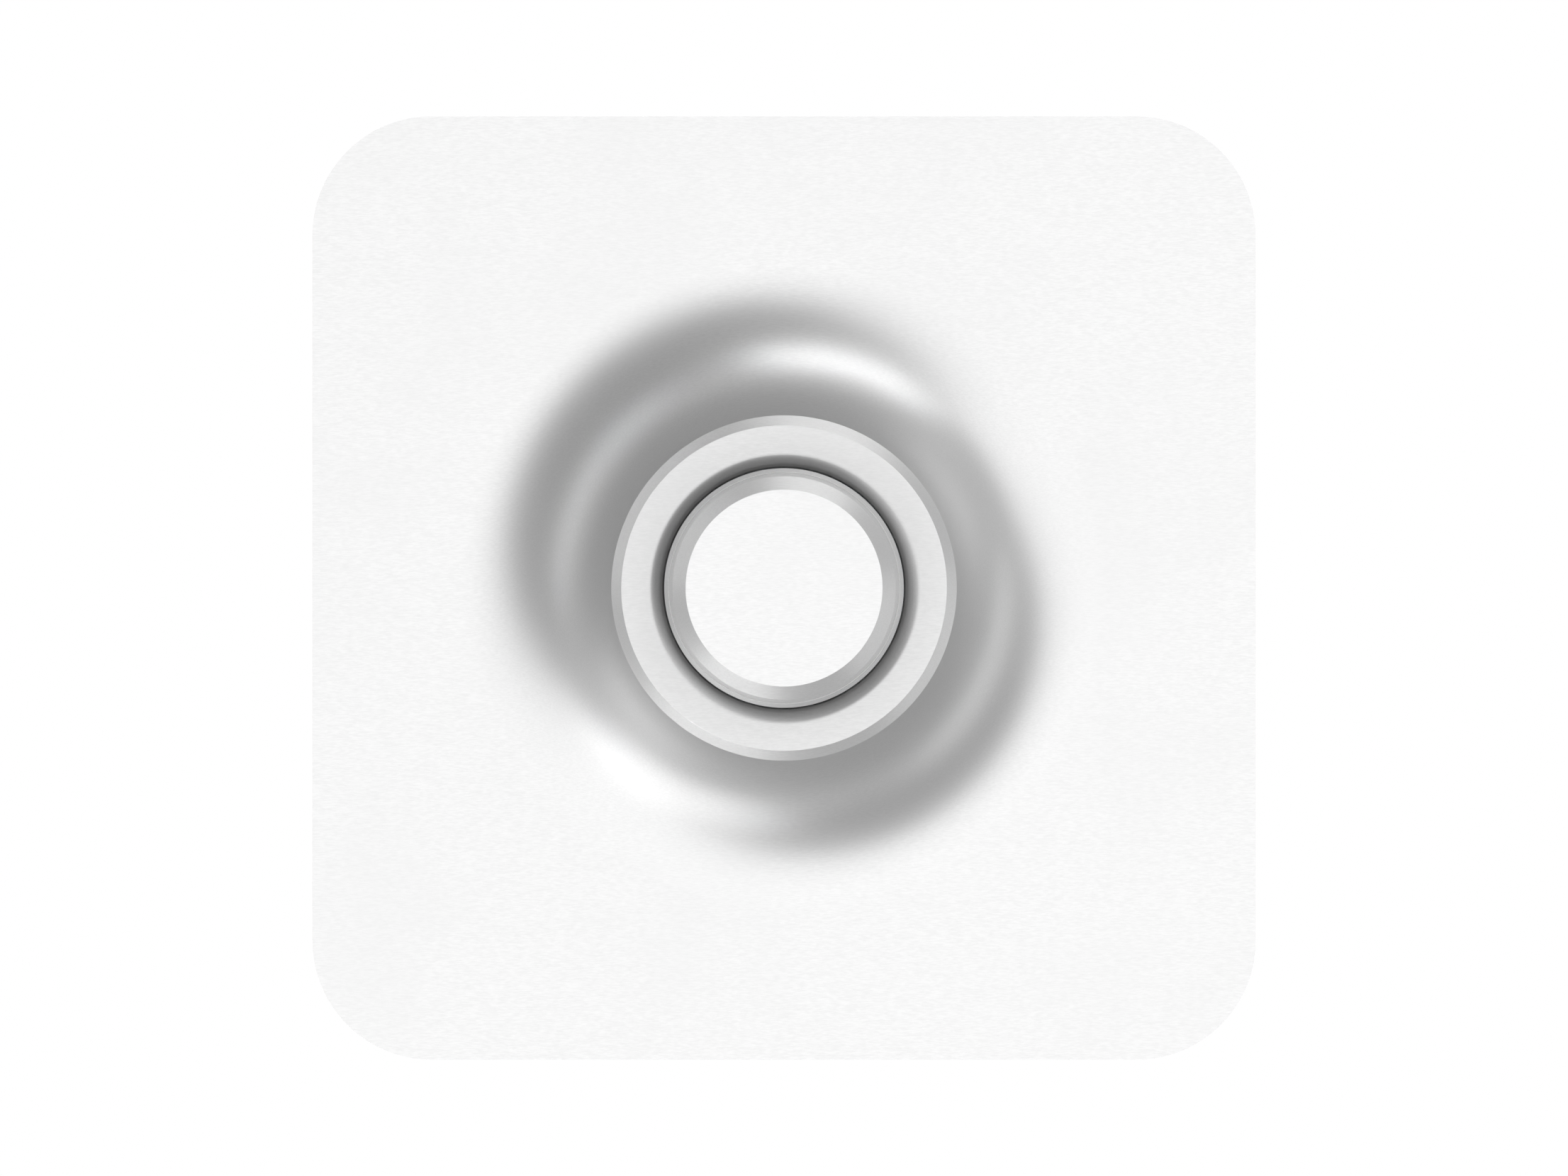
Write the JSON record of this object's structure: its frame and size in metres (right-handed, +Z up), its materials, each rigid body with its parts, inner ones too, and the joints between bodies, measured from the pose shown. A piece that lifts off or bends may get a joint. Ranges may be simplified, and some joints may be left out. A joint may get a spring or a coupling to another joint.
{
  "type": "concealed fire sprinkler head",
  "caption": "Wall fire sprinkler head: square flared steel face plate, ring with a fusible drop-off cap, sliding deflector, glass bulb valve and threaded brass inlet.",
  "frame": {"origin": "centre of the face plate's back face, on the face of the wall", "axes": "-Y out of the wall along the head's axis, towards the room; +Z up; +X to the right for someone who faces the wall"},
  "size_m": [0.1, 0.0758, 0.1],
  "materials": {
    "trim_steel": "fine sideways brushed stainless steel",
    "spring_steel": "cold rolled spring steel",
    "housing_steel": "turned and zinc plated steel",
    "screw_steel": "plain machined steel",
    "fusible_alloy": "dull cast fusible alloy",
    "body_brass": "turned brass",
    "nut_brass": "bright turned brass",
    "deflector_bronze": "stamped bronze",
    "seal_coat": "spring washer with a slick coating",
    "bulb_glass": "clear blown glass",
    "bulb_fluid": "red fluid"
  },
  "bodies": {
    "head": {"bezel_ring": "trim_steel", "cap_retainer": "spring_steel", "solder_pad_1": "fusible_alloy", "solder_pad_2": "fusible_alloy", "solder_pad_3": "fusible_alloy", "housing_tube": "housing_steel", "set_screw_1": "screw_steel", "set_screw_2": "screw_steel", "set_screw_3": "screw_steel", "lock_nut": "nut_brass", "inlet_body": "body_brass", "frame_yoke": "body_brass", "yoke_screw_1": "screw_steel", "yoke_screw_2": "screw_steel", "load_screw": "nut_brass", "glass_bulb": "bulb_glass", "bulb_fluid": "bulb_fluid", "bulb_seat": "nut_brass", "valve_plug": "nut_brass", "seal_disc": "seal_coat"},
    "cap": {"cover_cap": "trim_steel", "cap_collar": "trim_steel", "ejector_spring": "spring_steel", "spring_rivet": "screw_steel"},
    "deflector": {"deflector": "deflector_bronze", "guide_pin_1": "screw_steel", "guide_pin_2": "screw_steel"},
    "plate": {"face_plate": "trim_steel", "grip_collar": "spring_steel"}
  },
  "joints": [
    {"name": "cap_eject", "type": "slide", "parent": "head", "child": "cap", "axis": [0, -1, 0], "range_m": [0, 0.03]},
    {"name": "deflector_drop", "type": "slide", "parent": "head", "child": "deflector", "axis": [0, -1, 0], "range_m": [0, 0.01]},
    {"name": "plate_adjust", "type": "slide", "parent": "head", "child": "plate", "axis": [0, 1, 0], "range_m": [0, 0.006]}
  ],
  "couplings": [
    {"joint": "deflector_drop", "follows": "cap_eject", "ratio": 0.3333}
  ]
}
